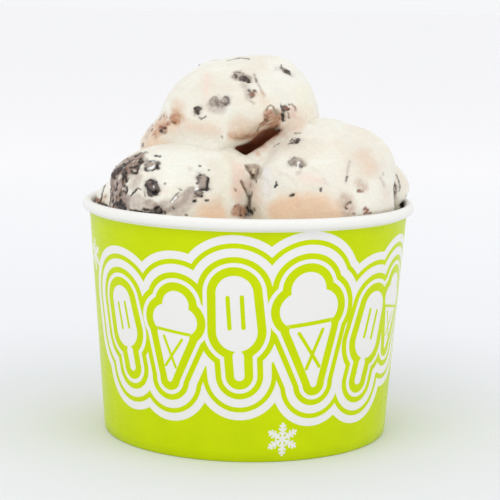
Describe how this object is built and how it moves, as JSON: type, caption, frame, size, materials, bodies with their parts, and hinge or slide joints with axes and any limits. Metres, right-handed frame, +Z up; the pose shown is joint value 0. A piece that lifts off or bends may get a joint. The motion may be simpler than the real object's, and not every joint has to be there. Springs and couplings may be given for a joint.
{
  "type": "ice cream pint",
  "caption": "Open paper pint tub with a rolled white rim, heaped with scoops of cream-coloured ice cream with biscuit pieces.",
  "frame": {"origin": "on the tub's axis, in the plane of the foot ring that it stands on", "axes": "+Z up along the tub's axis, -Y towards the viewer of the shown front, +X to that viewer's right"},
  "size_m": [0.112, 0.112, 0.1268],
  "materials": {
    "green_paper": "lime green coated paperboard with a white print and a white rolled rim, satin",
    "white_paper": "bare white paperboard, matt",
    "ice_cream": "cream-white ice cream with peach patches, grey biscuit smears and dark biscuit pieces, softly wet"
  },
  "bodies": {
    "root": {"cup_wall": "green_paper", "cup_base": "white_paper", "ice_cream_bed": "ice_cream", "scoop_front_left": "ice_cream", "scoop_front_right": "ice_cream", "scoop_rear_left": "ice_cream", "scoop_rear_right": "ice_cream", "scoop_top": "ice_cream"}
  },
  "joints": []
}
